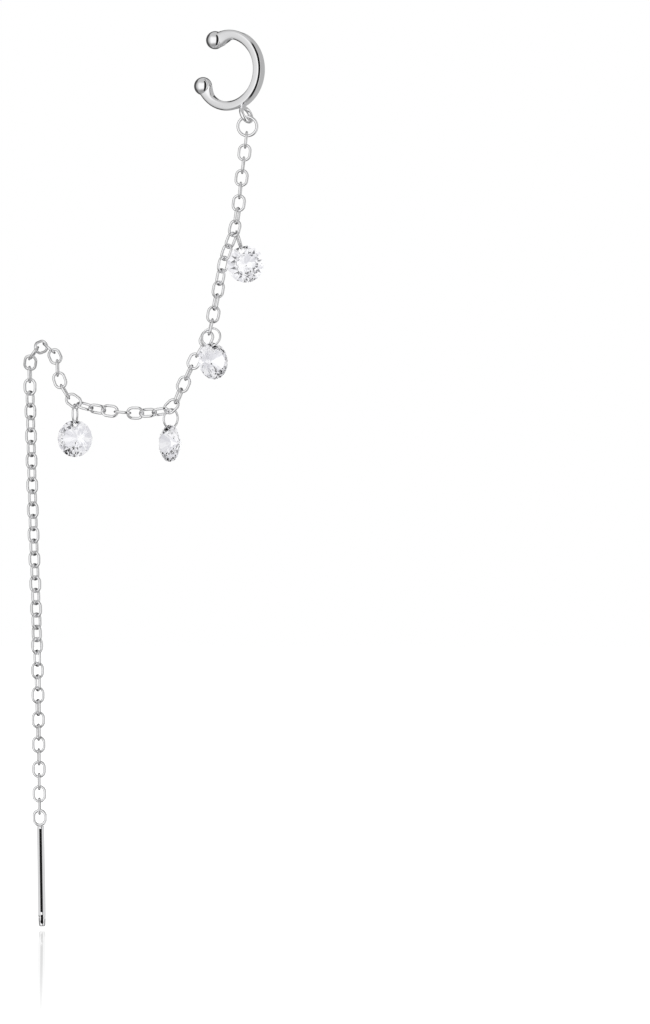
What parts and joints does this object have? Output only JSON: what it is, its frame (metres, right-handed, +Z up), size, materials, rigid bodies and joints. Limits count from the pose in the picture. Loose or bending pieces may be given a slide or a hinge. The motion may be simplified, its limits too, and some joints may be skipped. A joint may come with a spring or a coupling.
{
  "type": "drop earring",
  "caption": "Threader ear cuff in polished silver: a C-shaped cuff with ball ends, a fine cable chain in a swag with clear round drops, and a long straight tail ending in a thin pin.",
  "frame": {"origin": "the middle of the ear cuff's C, where the rim of the ear sits in it", "axes": "+Z up, along the hanging tail; -Y towards the viewer, the side the swag with its drops hangs on; +X towards the closed back of the C"},
  "size_m": [0.0328, 0.0086, 0.1212],
  "materials": {
    "ear_cuff": "polished sterling silver",
    "cuff_jump_ring": "polished sterling silver wire",
    "swag_chain": "polished sterling silver cable chain",
    "tail_chain": "polished sterling silver cable chain",
    "drop_ring_1": "polished sterling silver wire",
    "stone_1": "clear round brilliant cut cubic zirconia",
    "drop_ring_2": "polished sterling silver wire",
    "stone_2": "clear round brilliant cut cubic zirconia",
    "drop_ring_3": "polished sterling silver wire",
    "stone_3": "clear round brilliant cut cubic zirconia",
    "drop_ring_4": "polished sterling silver wire",
    "stone_4": "clear round brilliant cut cubic zirconia",
    "threader_pin": "polished sterling silver"
  },
  "bodies": {
    "earring": {"ear_cuff": "ear_cuff", "cuff_jump_ring": "cuff_jump_ring", "swag_chain": "swag_chain", "tail_chain": "tail_chain", "drop_ring_1": "drop_ring_1", "stone_1": "stone_1", "drop_ring_2": "drop_ring_2", "stone_2": "stone_2", "drop_ring_3": "drop_ring_3", "stone_3": "stone_3", "drop_ring_4": "drop_ring_4", "stone_4": "stone_4"},
    "pin": {"threader_pin": "threader_pin"}
  },
  "joints": [
    {"name": "pin_swing", "type": "hinge", "parent": "earring", "child": "pin", "pos_m": [-0.02569, 0.0031, -0.10047], "axis": [0, 1, 0], "range_deg": [-75, 75]}
  ]
}
